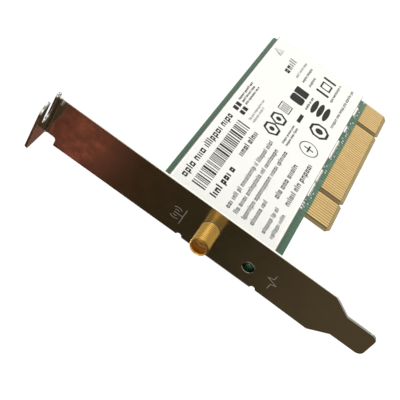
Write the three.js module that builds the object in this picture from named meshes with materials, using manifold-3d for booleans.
// A desktop computer's wireless network card: board with card edge, shield can, antenna jack, slot bracket.
// Frame, in millimetres: X = 0 is the bracket's outer face and +X runs into the computer. Y = 0 is the
// board's component side, and components stand towards -Y. Z = 0 is the lower rim of the card edge.
import * as THREE from "three";
import { mergeVertices } from "three/addons/utils/BufferGeometryUtils.js";
import Module from "manifold-3d";

const wasm = await Module();
wasm.setup();

// ---------------------------------------------------------------- driving dimensions
const ROUND = 40; // segments of a full circle on round pieces
const FINE = 12; // segments of a small fillet or pin
const TOUCH = 0.03; // clearance between pieces that rest on each other

const SHEET = 0.86; // bracket steel
const BRACKET_TOP = 94.1; // top of the bent tab
const BRACKET_END = -25.92; // tip of the lower tongue
const BRACKET_Y = [-14.48, 3.94]; // component-side edge, solder-side edge
const TONGUE_WIDTH = 10.19;
const SHOULDER_Z = -7.9;
const TONGUE_ROOT_Z = -14.4;
const TONGUE_CORNER = 2.2;
const BEND = 0.8; // inner bend radius
const TAB_REACH = 11.43;
const TAB_SHIFT = 3.18; // the tab stands past the component-side edge by this much
const TAB_CORNER = 1.6;
const RELIEF_Z = 89.3; // cut beside the fold, on the solder side
const RELIEF_RADIUS = 1.1;
const SLOT_WIDTH = 4.42;
const SLOT_X = -5.5;
const SLOT_ROOT_Y = -7.7;
const FLANGE_Z = [13.9, 40.3]; // bent flange that carries the board
const FLANGE_RUN_Y = 4.2; // middle of the flange sheet beside the bracket's edge
const FLANGE_JOG_X = [7.9, 10.0];
const FLANGE_END_X = 15.2;
const FLANGE_ROOT = 1.16; // the flange's bend starts inside the bracket's edge by this much
const NOTCH_RADIUS = 0.9; // relief at each end of the flange
const NOTCH_DEEP = 1.2;
const NOTCH_CORNER = 0.85;

const BOARD_THICK = 1.57;
const BOARD_X = [1.6, 119.9];
const BOARD_Z = [10.2, 56.7];
const BOARD_CORNER = 1.2;
const PITCH = 1.27; // card-edge contacts
const KEY_X = [56.21, 104.47]; // centres of the two key slots
const KEY_WIDTH = 1.9;
const KEY_TOP = 10;
const KEY_FLARE = [0.5, 1]; // chamfer at each key slot's mouth: along X, along Z
const EDGE_LEFT = 40.5; // start of the card edge
const EDGE_CORNER = 1.3;
const BEVEL_HIGH = 1.3;
const BEVEL_DEEP = 0.48;
const PAD_WIDTH = 1.02;
const PAD_THICK = 0.06;
const PAD_Z = [1.4, 9.9];
const PAD_LINK = 0.35; // strip that joins a segment's pads under the solder mask
const PADS = [11, 36, 11]; // contacts in each segment
const LEG_HOLE_RADIUS = 0.75; // plated holes for the jack's legs
const TAIL_HOLE_RADIUS = 0.65;
const LEAD_HOLE_RADIUS = 0.45;

const JACK = { y: -6.6, z: 34.2 }; // antenna jack axis
const JACK_TIP_X = -9.5;
const JACK_THREAD_RADIUS = 3.175;
const JACK_BORE_RADIUS = 2.3;
const JACK_BLOCK_X = [1.1, 5.8];
const JACK_BLOCK_HALF = 3.2;
const JACK_STANDOFF = 0.4;
const JACK_LEG = 0.9;
const JACK_LEG_X = [2.7, 5.1];
const JACK_LEG_HALF_SPAN = 2.54;
const JACK_TAIL_X = 3.9;
const JACK_HOLE_RADIUS = 3.25; // clearance hole in the bracket
const JACK_PIN_RADIUS = 0.47;
const JACK_PIN_TIP_X = -8.7;
const JACK_PIN_TIP_RADIUS = 0.14;
const JACK_PIN_TAPER = 0.8; // length of the pin's tapered end
const JACK_INSULATOR_X = -6.4; // face of the insulator inside the mouth
const JACK_WELL_RADIUS = 1.6; // bore in the block for the pin's tail
const JACK_BORE_END_X = 4.9;
const JACK_LIP = 0.35; // chamfer outside the mouth
const JACK_MOUTH_FLARE = 0.2; // chamfer inside it
const JACK_CLEAR = 0.1; // around the insulator and the pin
const JACK_UNDERCUT = [0.9, 0.6, 0.45]; // thread run-out before the block: from, to, depth
const LEG_END_Y = 2.7;

const LED = { y: -2.9, z: 18.1 };
const LED_RADIUS = 1.5;
const LED_TIP_X = 0.15;
const LED_RIM = { x: [2.35, 3.3], proud: 0.4 };
const LED_HOLE_RADIUS = 2.05;
const LED_HOLDER_X = [2.2, 7.0];
const LED_HOLDER_CLEAR = 0.1; // around the lens in its seat
const LED_HOLDER_HALF = [2.4, 2.6]; // half its height over the board, half its width
const LED_LEAD_X = 8.3;
const LED_LEAD_HALF_SPAN = 1.27;
const LED_LEAD = 0.5;

const RIVET_X = 12.6;
const RIVET_Z = [17.0, 37.5];
const RIVET_RADIUS = 1.45;
const RIVET_HEAD = [[0, 2.4], [0.3, 2.4], [0.75, 2.0], [1.05, 1.2]]; // height above the flange, radius
const RIVET_FOOT = [[0, 1.9], [0.35, 1.9], [0.6, 1.5]]; // height above the board, radius
const RIVET_DIMPLE = { radius: 0.7, deep: 0.9 }; // pressed into the foot
const RIVET_HOLE_RADIUS = 1.6;

const CAN_X = [9.8, 118.6];
const CAN_Z = [13.3, 54.8];
const CAN_TOP = 3.0; // height of the shield can above the board
const CAN_SHEET = 0.25;
const CAN_GAP = 0.08; // between frame and cover
const CAN_SKIRT_Y = -0.9; // lower rim of the cover
const CAN_CORNER = 1.0;
const CAN_LIP = 1.6; // the frame's rim reaches in by this much
const CAN_DIVIDER_X = 64;
const LABEL_INSET = [0.5, 0.9];
const LABEL_THICK = 0.1;
const LABEL_CORNER = 2.6;

// Pieces soldered on the board: centre in (X, Z), size along X and Z, height above the board.
const FLAT_CHIPS = [
  { name: "baseband_chip", at: [88, 34], size: [15, 15], tall: 1.2 },
  { name: "radio_chip", at: [50, 34], size: [9, 9], tall: 0.95 },
  { name: "power_amplifier_1", at: [33, 42], size: [4, 4], tall: 0.9 },
  { name: "power_amplifier_2", at: [33, 26], size: [4, 4], tall: 0.9 },
  { name: "antenna_switch", at: [23, 34], size: [3, 3], tall: 0.8 },
];
const LEGGED_CHIPS = [
  { name: "memory_chip", at: [107, 44], size: [5, 4], tall: 1.5, up: 4, down: 4, pitch: 1.27, leg: 0.4 },
  { name: "regulator", at: [108, 24], size: [6.5, 3.5], tall: 1.6, up: 1, down: 3, pitch: 2.3, leg: 0.8 },
];
const PASSIVES = [
  { name: "filter_1", at: [40, 42], size: [2, 1.25], tall: 0.9, along: "x", look: "ceramic" },
  { name: "filter_2", at: [40, 26], size: [2, 1.25], tall: 0.9, along: "x", look: "ceramic" },
  { name: "capacitor_1", at: [98, 47], size: [3.5, 2.8], tall: 1.8, along: "x", look: "ceramic" },
  { name: "capacitor_2", at: [114, 34], size: [2.8, 3.5], tall: 1.8, along: "z", look: "ceramic" },
  { name: "antenna_capacitor", at: [12.4, 29.5], size: [1.6, 0.8], tall: 0.5, along: "x", look: "ceramic" },
  { name: "led_resistor", at: [12.4, 23.2], size: [0.8, 1.6], tall: 0.45, along: "z", look: "black" },
];
// The crystal's base and lid: half sizes along X and Z, top height.
const CRYSTAL = { at: [73, 46], base: [2.5, 1.6, 0.5], lid: [2.25, 1.35, 1.1], corner: 0.4 };
const INDUCTOR = { at: [98, 21], half: 2.2, corner: 0.7, base: 0.6, drum: 1.9, tall: 1.9 };
// A flat chip's mould is set in; the substrate's top and the mould's foot are shares of its height.
const FLAT_CHIP = { inset: 0.3, substrate: 0.4, mould: 0.3 };
const CHIP_STANDOFF = 0.15; // under a legged chip
// A gull-wing leg: sheet, and the distances of its four turns from the chip's side.
const CHIP_LEG = { sheet: 0.18, root: -0.2, knee: 0.4, heel: 0.6, toe: 1.2 };
const PASSIVE_CAP = { share: 0.25, proud: 0.04 }; // of the body's length, and past its faces

const LOOK = {
  steel: { color: 0xa9a59b, roughness: 0.18, metalness: 1.0 },
  laminate: { color: 0x1f6b4f, roughness: 0.45, metalness: 0.0 },
  gold: { color: 0xd8aa4e, roughness: 0.28, metalness: 1.0 },
  tin: { color: 0xcfcfca, roughness: 0.3, metalness: 1.0 },
  paper: { color: 0xf2f2ee, roughness: 0.6, metalness: 0.0 },
  insulator: { color: 0xece4cf, roughness: 0.5, metalness: 0.0 },
  lens: { color: 0x2f8f4f, roughness: 0.2, metalness: 0.0 },
  black: { color: 0x1b1b1d, roughness: 0.6, metalness: 0.0 },
  ceramic: { color: 0xb99b74, roughness: 0.6, metalness: 0.0 },
};

// ---------------------------------------------------------------- geometry helpers
// A three.js geometry as a solid that can be joined and cut.
function solid(geometry) {
  const bare = geometry.clone();
  bare.deleteAttribute("normal");
  bare.deleteAttribute("uv");
  const merged = mergeVertices(bare, 1e-4);
  return new wasm.Manifold(
    new wasm.Mesh({
      numProp: 3,
      vertProperties: new Float32Array(merged.attributes.position.array),
      triVerts: new Uint32Array(merged.index.array),
    }),
  );
}

function geometryOf(shape) {
  const mesh = shape.getMesh();
  const geometry = new THREE.BufferGeometry();
  geometry.setAttribute("position", new THREE.BufferAttribute(new Float32Array(mesh.vertProperties), 3));
  geometry.setIndex(new THREE.BufferAttribute(new Uint32Array(mesh.triVerts), 1));
  geometry.computeVertexNormals();
  return geometry;
}

const around = (middle, half) => [middle - half, middle + half];
const join = (shapes) => shapes.reduce((sum, next) => sum.add(next));
const cut = (shape, tools) => tools.reduce((rest, tool) => rest.subtract(tool), shape);

function box([x0, x1], [y0, y1], [z0, z1]) {
  const geometry = new THREE.BoxGeometry(x1 - x0, y1 - y0, z1 - z0);
  return solid(geometry.translate((x0 + x1) / 2, (y0 + y1) / 2, (z0 + z1) / 2));
}

// Prisms from an outline drawn in two of the frame's axes, running along the third: the outline lies in
// (Y, Z) for x, in (X, Z) for y, where the depth runs towards -Y, and in (X, Y) for z.
const prismAxes = {
  x: new THREE.Matrix4().set(0, 0, 1, 0, 1, 0, 0, 0, 0, 1, 0, 0, 0, 0, 0, 1),
  y: new THREE.Matrix4().set(1, 0, 0, 0, 0, 0, -1, 0, 0, 1, 0, 0, 0, 0, 0, 1),
  z: new THREE.Matrix4(),
};

function prism(axis, outline, from, to, segments = FINE) {
  const geometry = new THREE.ExtrudeGeometry(outline, {
    depth: to - from,
    bevelEnabled: false,
    curveSegments: segments,
  });
  geometry.applyMatrix4(prismAxes[axis]);
  const start = { x: [from, 0, 0], y: [0, to, 0], z: [0, 0, from] }[axis];
  return solid(geometry.translate(...start));
}

// A turned piece: profile points are [distance along the axis, radius], and the axis lies along X, Y or Z.
function turned(profile, axis, [x, y, z], segments = ROUND) {
  const points = profile.map(([along, radius]) => new THREE.Vector2(radius, along));
  const geometry = new THREE.LatheGeometry(points, segments);
  if (axis === "x") geometry.rotateZ(-Math.PI / 2);
  if (axis === "z") geometry.rotateX(Math.PI / 2);
  return solid(geometry.translate(x, y, z));
}

const rod = (axis, radius, from, to, place, segments = ROUND) =>
  turned([[from, 0], [from, radius], [to, radius], [to, 0]], axis, place, segments);

function outlineOf(points) {
  return new THREE.Shape(points.map(([u, v]) => new THREE.Vector2(u, v)));
}

function roundedRectangle([u0, u1], [v0, v1], radius) {
  const shape = new THREE.Shape();
  shape.moveTo(u0 + radius, v0);
  shape.lineTo(u1 - radius, v0);
  shape.absarc(u1 - radius, v0 + radius, radius, -Math.PI / 2, 0, false);
  shape.lineTo(u1, v1 - radius);
  shape.absarc(u1 - radius, v1 - radius, radius, 0, Math.PI / 2, false);
  shape.lineTo(u0 + radius, v1);
  shape.absarc(u0 + radius, v1 - radius, radius, Math.PI / 2, Math.PI, false);
  shape.lineTo(u0, v0 + radius);
  shape.absarc(u0 + radius, v0 + radius, radius, Math.PI, Math.PI * 1.5, false);
  return shape;
}

function circleHole(u, v, radius) {
  const hole = new THREE.Path();
  hole.absarc(u, v, radius, 0, Math.PI * 2, true);
  return hole;
}

// Points on an arc about (u, v), both ends included.
function arc(u, v, radius, from, to, steps) {
  return Array.from({ length: steps + 1 }, (_, i) => {
    const angle = from + ((to - from) * i) / steps;
    return [u + radius * Math.cos(angle), v + radius * Math.sin(angle)];
  });
}

// Outline of a bent sheet: a middle line given by its points, with half the thickness on each side.
function ribbon(points, thickness) {
  const line = points.map(([u, v]) => new THREE.Vector2(u, v));
  const side = (sign) =>
    line.map((point, i) => {
      const before = line[Math.max(i - 1, 0)];
      const after = line[Math.min(i + 1, line.length - 1)];
      const into = (i ? point.clone().sub(before) : after.clone().sub(point)).normalize();
      const out = (i < line.length - 1 ? after.clone().sub(point) : point.clone().sub(before)).normalize();
      const normal = new THREE.Vector2(-into.y - out.y, into.x + out.x).normalize();
      const mitre = thickness / 2 / normal.dot(new THREE.Vector2(-into.y, into.x));
      return point.clone().addScaledVector(normal, sign * mitre);
    });
  return new THREE.Shape([...side(-1), ...side(1).reverse()]);
}

// ---------------------------------------------------------------- slot bracket
const TAB_Z = [BRACKET_TOP - SHEET, BRACKET_TOP];
const BEND_Z = TAB_Z[0] - BEND;
const TAB_Y = [BRACKET_Y[0] - TAB_SHIFT, BRACKET_Y[1] - TAB_SHIFT];

function bracketPlate() {
  const [y0, y1] = BRACKET_Y;
  const middle = (y0 + y1) / 2;
  const tongue = [middle - TONGUE_WIDTH / 2, middle + TONGUE_WIDTH / 2];
  const tip = BRACKET_END + TONGUE_CORNER;
  const quarter = Math.PI / 2;
  const relief = [TAB_Y[1] + RELIEF_RADIUS, RELIEF_Z + RELIEF_RADIUS];
  const plate = outlineOf([
    ...arc(tongue[0] + TONGUE_CORNER, tip, TONGUE_CORNER, 2 * quarter, 3 * quarter, FINE / 2),
    ...arc(tongue[1] - TONGUE_CORNER, tip, TONGUE_CORNER, -quarter, 0, FINE / 2),
    [tongue[1], TONGUE_ROOT_Z],
    [y1, SHOULDER_Z],
    [y1, RELIEF_Z],
    ...arc(...relief, RELIEF_RADIUS, 3 * quarter, 2 * quarter, FINE / 2),
    [TAB_Y[1], BEND_Z],
    [y0, BEND_Z],
    [y0, SHOULDER_Z],
    [tongue[0], TONGUE_ROOT_Z],
  ]);
  plate.holes.push(circleHole(JACK.y, JACK.z, JACK_HOLE_RADIUS), circleHole(LED.y, LED.z, LED_HOLE_RADIUS));
  return prism("x", plate, 0, SHEET, ROUND);
}

function bracketBend() {
  const middle = arc(-BEND, BEND_Z, BEND + SHEET / 2, 0, Math.PI / 2, FINE / 2);
  const path = [[SHEET / 2, BEND_Z - 1], ...middle, [-BEND - 0.5, BEND_Z + BEND + SHEET / 2]];
  const profile = ribbon(path, SHEET);
  return prism("y", profile, BRACKET_Y[0], TAB_Y[1]);
}

function bracketTab() {
  const [y0, y1] = TAB_Y;
  const half = SLOT_WIDTH / 2;
  const fingerWidth = TAB_REACH + SLOT_X - half;
  const quarter = Math.PI / 2;
  const innerTip = (-BEND - SLOT_X - half) / 2;
  const tab = outlineOf([
    ...arc(-TAB_REACH + TAB_CORNER, y1 - TAB_CORNER, TAB_CORNER, quarter, 2 * quarter, FINE / 2),
    ...arc(-TAB_REACH + fingerWidth, y0 + fingerWidth, fingerWidth, 2 * quarter, 3 * quarter, FINE),
    ...arc(SLOT_X, SLOT_ROOT_Y - half, half, 2 * quarter, 0, FINE),
    ...arc(-BEND - innerTip, y0 + innerTip, innerTip, 2 * quarter, 4 * quarter, FINE),
    [-BEND, y1],
  ]);
  return prism("z", tab, ...TAB_Z);
}

function bracketFlange() {
  const bend = FLANGE_RUN_Y - SHEET / 2 - (BRACKET_Y[1] - FLANGE_ROOT);
  const middle = arc(SHEET / 2 + bend, FLANGE_RUN_Y - bend, bend, Math.PI, Math.PI / 2, FINE / 2);
  const boardSide = BOARD_THICK + TOUCH + SHEET / 2;
  const profile = ribbon(
    [
      [SHEET / 2, FLANGE_RUN_Y - bend - 1],
      ...middle,
      [FLANGE_JOG_X[0], FLANGE_RUN_Y],
      [FLANGE_JOG_X[1], boardSide],
      [FLANGE_END_X, boardSide],
    ],
    SHEET,
  );
  const flange = prism("z", profile, ...FLANGE_Z);
  return cut(flange, RIVET_Z.map((z) => rod("y", RIVET_HOLE_RADIUS, 0, FLANGE_RUN_Y, [RIVET_X, 0, z])));
}

function bracket() {
  const notch = (z) => {
    const edge = BRACKET_Y[1];
    const slot = roundedRectangle([edge - NOTCH_DEEP, edge + 2], around(z, NOTCH_RADIUS), NOTCH_CORNER);
    return prism("x", slot, -1, SHEET + 1);
  };
  const notches = [FLANGE_Z[0] - NOTCH_RADIUS, FLANGE_Z[1] + NOTCH_RADIUS].map(notch);
  return join([cut(bracketPlate(), notches), bracketFlange(), bracketBend(), bracketTab()]);
}

// ---------------------------------------------------------------- board and card edge
function board() {
  const [x0, x1] = BOARD_X;
  const [z0, z1] = BOARD_Z;
  const c = EDGE_CORNER;
  const r = BOARD_CORNER;
  const half = KEY_WIDTH / 2;
  const [flareX, flareZ] = KEY_FLARE;
  const key = (x) => [
    [x - half - flareX, 0],
    [x - half, flareZ],
    ...arc(x, KEY_TOP - half, half, Math.PI, 0, 8),
    [x + half, flareZ],
    [x + half + flareX, 0],
  ];
  const outline = outlineOf([
    [x0, z0],
    [EDGE_LEFT, z0],
    [EDGE_LEFT, c],
    [EDGE_LEFT + c, 0],
    ...KEY_X.flatMap(key),
    [x1 - c, 0],
    [x1, c],
    ...arc(x1 - r, z1 - r, r, 0, Math.PI / 2, 4),
    ...arc(x0 + r, z1 - r, r, Math.PI / 2, Math.PI, 4),
  ]);
  outline.holes.push(
    ...RIVET_Z.map((z) => circleHole(RIVET_X, z, RIVET_HOLE_RADIUS)),
    ...jackLegs().map(([x, z]) => circleHole(x, z, LEG_HOLE_RADIUS)),
    circleHole(JACK_TAIL_X, JACK.z, TAIL_HOLE_RADIUS),
    ...ledLeads().map((z) => circleHole(LED_LEAD_X, z, LEAD_HOLE_RADIUS)),
  );
  const bevel = (y, out) => {
    const slope = outlineOf([
      [y, BEVEL_HIGH],
      [y - out * BEVEL_DEEP, 0],
      [y - out * BEVEL_DEEP, -1],
      [y + out, -1],
      [y + out, BEVEL_HIGH],
    ]);
    return prism("x", slope, EDGE_LEFT - 1, x1 + 1);
  };
  const blank = prism("y", outline, 0, BOARD_THICK, 16);
  return cut(blank, [bevel(BOARD_THICK, 1), bevel(0, -1)]);
}

// The card edge's three segments: where the first contact is, and how many there are.
const SEGMENTS = [
  { firstX: KEY_X[0] - (PADS[0] + 0.5) * PITCH, count: PADS[0] },
  { firstX: KEY_X[0] + 1.5 * PITCH, count: PADS[1] },
  { firstX: KEY_X[1] + 1.5 * PITCH, count: PADS[2] },
];

function contacts({ firstX, count }, front) {
  const y = front ? [-PAD_THICK - TOUCH, -TOUCH] : [BOARD_THICK + TOUCH, BOARD_THICK + TOUCH + PAD_THICK];
  const middles = Array.from({ length: count }, (_, i) => firstX + i * PITCH);
  const pads = middles.map((x) => box(around(x, PAD_WIDTH / 2), y, PAD_Z));
  const link = box([firstX, firstX + (count - 1) * PITCH], y, [PAD_Z[1] - PAD_LINK, PAD_Z[1]]);
  return join([link, ...pads]);
}

// ---------------------------------------------------------------- antenna jack
const AXIS = [0, JACK.y, JACK.z];
const TAIL = [JACK_TAIL_X, 0, JACK.z];

function jackLegs() {
  return JACK_LEG_X.flatMap((x) => around(JACK.z, JACK_LEG_HALF_SPAN).map((z) => [x, z]));
}

function jackShell() {
  const r = JACK_THREAD_RADIUS;
  const [runOut, neck, deep] = JACK_UNDERCUT;
  const barrel = turned(
    [
      [JACK_TIP_X, 0],
      [JACK_TIP_X, r - JACK_LIP],
      [JACK_TIP_X + JACK_LIP, r],
      [JACK_BLOCK_X[0] - runOut, r],
      [JACK_BLOCK_X[0] - neck, r - deep],
      [JACK_BLOCK_X[0] + neck, r - deep],
      [JACK_BLOCK_X[0] + neck, 0],
    ],
    "x",
    AXIS,
  );
  const floor = -JACK_STANDOFF;
  const block = box(JACK_BLOCK_X, [JACK.y - JACK_BLOCK_HALF, floor], around(JACK.z, JACK_BLOCK_HALF));
  const half = JACK_LEG / 2;
  const legs = jackLegs().map(([x, z]) => box(around(x, half), [floor - 1, LEG_END_Y], around(z, half)));
  const bore = turned(
    [
      [JACK_TIP_X - 1, 0],
      [JACK_TIP_X - 1, JACK_BORE_RADIUS + JACK_MOUTH_FLARE],
      [JACK_TIP_X, JACK_BORE_RADIUS + JACK_MOUTH_FLARE],
      [JACK_TIP_X + JACK_MOUTH_FLARE, JACK_BORE_RADIUS],
      [JACK_BORE_END_X, JACK_BORE_RADIUS],
      [JACK_BORE_END_X, 0],
    ],
    "x",
    AXIS,
  );
  const well = rod("y", JACK_WELL_RADIUS, JACK.y, 0, TAIL, 24);
  return cut(join([barrel, block, ...legs]), [bore, well]);
}

function jackInsulator() {
  const hole = JACK_PIN_RADIUS + JACK_CLEAR;
  const body = rod("x", JACK_BORE_RADIUS - JACK_CLEAR, JACK_INSULATOR_X, JACK_BORE_END_X - JACK_CLEAR, AXIS);
  const stem = rod("y", JACK_WELL_RADIUS - JACK_CLEAR, JACK.y, -JACK_STANDOFF, TAIL, 24);
  const bore = rod("x", hole, JACK_INSULATOR_X - 1, JACK_TAIL_X + hole, AXIS, 20);
  const well = rod("y", hole, JACK.y - hole, 0, TAIL, 20);
  return cut(join([body, stem]), [bore, well]);
}

function jackPin() {
  const r = JACK_PIN_RADIUS;
  const taper = JACK_PIN_TIP_X + JACK_PIN_TAPER;
  const end = JACK_TAIL_X + r;
  const tip = [[JACK_PIN_TIP_X, 0], [JACK_PIN_TIP_X, JACK_PIN_TIP_RADIUS]];
  const profile = [...tip, [taper, r], [end, r], [end, 0]];
  return join([turned(profile, "x", AXIS, 20), rod("y", r, JACK.y - r, LEG_END_Y, TAIL, 20)]);
}

// ---------------------------------------------------------------- status light
const ledLeads = () => around(LED.z, LED_LEAD_HALF_SPAN);
const LED_PLACE = [0, LED.y, LED.z];

function ledLens() {
  const r = LED_RADIUS;
  const dome = arc(LED_TIP_X + r, 0, r, Math.PI, Math.PI / 2, 8);
  const rim = r + LED_RIM.proud;
  const [rimFrom, rimTo] = LED_RIM.x;
  return turned([...dome, [rimFrom, r], [rimFrom, rim], [rimTo, rim], [rimTo, 0]], "x", LED_PLACE, 28);
}

function ledHolder() {
  const x0 = LED_HOLDER_X[0];
  const [halfHigh, halfWide] = LED_HOLDER_HALF;
  const body = box(LED_HOLDER_X, [LED.y - halfHigh, -TOUCH], around(LED.z, halfWide));
  const radius = LED_RADIUS + LED_RIM.proud + LED_HOLDER_CLEAR;
  const seat = rod("x", radius, x0 - 1, LED_RIM.x[1] + LED_HOLDER_CLEAR, LED_PLACE, 28);
  return cut(body, [seat]);
}

function ledLead(z) {
  const bend = LED_LEAD;
  const path = [
    [LED_HOLDER_X[1] + TOUCH, LED.y],
    [LED_LEAD_X - bend, LED.y],
    [LED_LEAD_X, LED.y + bend],
    [LED_LEAD_X, LEG_END_Y],
  ];
  return prism("z", ribbon(path, LED_LEAD), ...around(z, LED_LEAD / 2));
}

// ---------------------------------------------------------------- rivets
// Its head lies on the flange and its foot, spread under the shield can, on the board's component side.
function rivet(z) {
  const outer = BOARD_THICK + 2 * TOUCH + SHEET;
  const head = RIVET_HEAD.map(([high, radius]) => [outer + high, radius]);
  const foot = RIVET_FOOT.map(([high, radius]) => [-TOUCH - high, radius]).reverse();
  const profile = [
    [foot[0][0], 0],
    ...foot,
    [-TOUCH, RIVET_RADIUS],
    [outer, RIVET_RADIUS],
    ...head,
    [head.at(-1)[0], 0],
  ];
  const spot = [RIVET_X, 0, z];
  const { radius, deep } = RIVET_DIMPLE;
  const dimple = rod("y", radius, foot[0][0] - 1, foot[0][0] + deep, spot, 20);
  return cut(turned(profile, "y", spot, 32), [dimple]);
}

// ---------------------------------------------------------------- shield can and label
const inset = ([low, high], by) => [low + by, high - by];

function shieldCover() {
  const room = [inset(CAN_X, CAN_SHEET), inset(CAN_Z, CAN_SHEET)];
  const outer = prism("y", roundedRectangle(CAN_X, CAN_Z, CAN_CORNER), -CAN_TOP, CAN_SKIRT_Y, 6);
  const inner = prism("y", roundedRectangle(...room, CAN_CORNER - CAN_SHEET), -CAN_TOP + CAN_SHEET, 0, 6);
  return cut(outer, [inner]);
}

function shieldFrame() {
  const gap = CAN_SHEET + CAN_GAP;
  const x = inset(CAN_X, gap);
  const z = inset(CAN_Z, gap);
  const top = -CAN_TOP + gap;
  const blank = prism("y", roundedRectangle(x, z, CAN_CORNER - gap), top, -TOUCH, 6);
  const room = box(inset(x, CAN_SHEET), [top + CAN_SHEET, 1], inset(z, CAN_SHEET));
  const windows = [[x[0], CAN_DIVIDER_X], [CAN_DIVIDER_X, x[1]]].map((span) =>
    box(inset(span, CAN_LIP), [top - 1, 1], inset(z, CAN_LIP)),
  );
  const divider = box(around(CAN_DIVIDER_X, CAN_SHEET / 2), [top, -TOUCH], inset(z, CAN_SHEET / 2));
  return join([cut(blank, [room, ...windows]), divider]);
}

function label() {
  const x = inset(CAN_X, LABEL_INSET[0]);
  const z = inset(CAN_Z, LABEL_INSET[1]);
  const back = -CAN_TOP - TOUCH;
  return prism("y", roundedRectangle(x, z, LABEL_CORNER), back - LABEL_THICK, back, 8);
}

// ---------------------------------------------------------------- pieces on the board
// A block seen from above as (X, Z) about its centre, between two heights above the board.
const slab = ([x, z], [wide, high], low, top) => box(around(x, wide / 2), [-top, -low], around(z, high / 2));

// A chip without legs: a mould on a slightly wider substrate.
function flatChip({ at, size, tall }) {
  const mould = size.map((side) => side - 2 * FLAT_CHIP.inset);
  return join([
    slab(at, size, TOUCH, tall * FLAT_CHIP.substrate),
    slab(at, mould, tall * FLAT_CHIP.mould, tall),
  ]);
}

// A chip with gull-wing legs along its two sides, up legs towards +Z and down legs towards -Z.
function leggedChip({ at, size, tall, up, down, pitch, leg }) {
  const [x, z] = at;
  const { sheet, root, knee, heel, toe } = CHIP_LEG;
  const foot = -TOUCH - sheet / 2;
  const row = (count, side) =>
    Array.from({ length: count }, (_, i) => {
      const reach = (past) => z + side * (size[1] / 2 + past);
      const shoulder = -tall / 2;
      const high = [[shoulder, reach(root)], [shoulder, reach(knee)]];
      const line = [...high, [foot, reach(heel)], [foot, reach(toe)]];
      const middle = x + (i - (count - 1) / 2) * pitch;
      return prism("x", ribbon(line, sheet), ...around(middle, leg / 2));
    });
  return join([slab(at, size, CHIP_STANDOFF, tall), ...row(up, 1), ...row(down, -1)]);
}

// A two-ended passive: a body with a slightly larger metal cap on each end.
function passive({ at, size, tall, along }) {
  const axis = along === "x" ? 0 : 1;
  const grow = PASSIVE_CAP.proud;
  const cap = size.map((side, i) => (i === axis ? side * PASSIVE_CAP.share : side + 2 * grow));
  const ends = [-1, 1].map((side) => {
    const centre = at.map((c, i) => (i === axis ? c + side * (size[axis] / 2 - cap[axis] / 2 + grow) : c));
    return slab(centre, cap, TOUCH, tall + grow);
  });
  return join([slab(at, size, TOUCH + grow, tall), ...ends]);
}

function crystal() {
  const [x, z] = CRYSTAL.at;
  const tier = ([halfX, halfZ, top], low) =>
    prism("y", roundedRectangle(around(x, halfX), around(z, halfZ), CRYSTAL.corner), -top, -low);
  return join([tier(CRYSTAL.base, TOUCH), tier(CRYSTAL.lid, CRYSTAL.base[2] / 2)]);
}

function inductor() {
  const [x, z] = INDUCTOR.at;
  const outline = roundedRectangle(around(x, INDUCTOR.half), around(z, INDUCTOR.half), INDUCTOR.corner);
  const base = prism("y", outline, -INDUCTOR.base, -TOUCH);
  return join([base, rod("y", INDUCTOR.drum, -INDUCTOR.tall, -INDUCTOR.base / 2, [x, 0, z], 28)]);
}

// ---------------------------------------------------------------- assembly
const card = new THREE.Group();

function place(name, shape, look) {
  const mesh = new THREE.Mesh(geometryOf(shape), new THREE.MeshStandardMaterial(LOOK[look]));
  mesh.name = name;
  card.add(mesh);
}

place("bracket", bracket(), "steel");
place("board", board(), "laminate");
SEGMENTS.forEach((segment, i) => {
  place(`contacts_front_${i + 1}`, contacts(segment, true), "gold");
  place(`contacts_back_${i + 1}`, contacts(segment, false), "gold");
});
place("jack_shell", jackShell(), "gold");
place("jack_insulator", jackInsulator(), "insulator");
place("jack_pin", jackPin(), "gold");
place("led_lens", ledLens(), "lens");
place("led_holder", ledHolder(), "black");
ledLeads().forEach((z, i) => place(`led_lead_${i + 1}`, ledLead(z), "tin"));
RIVET_Z.forEach((z, i) => place(`rivet_${i + 1}`, rivet(z), "tin"));
place("shield_frame", shieldFrame(), "tin");
place("shield_cover", shieldCover(), "tin");
place("label", label(), "paper");

FLAT_CHIPS.forEach((chip) => place(chip.name, flatChip(chip), "black"));
LEGGED_CHIPS.forEach((chip) => place(chip.name, leggedChip(chip), "black"));
PASSIVES.forEach((piece) => place(piece.name, passive(piece), piece.look));
place("crystal", crystal(), "tin");
place("inductor", inductor(), "black");

export default card;
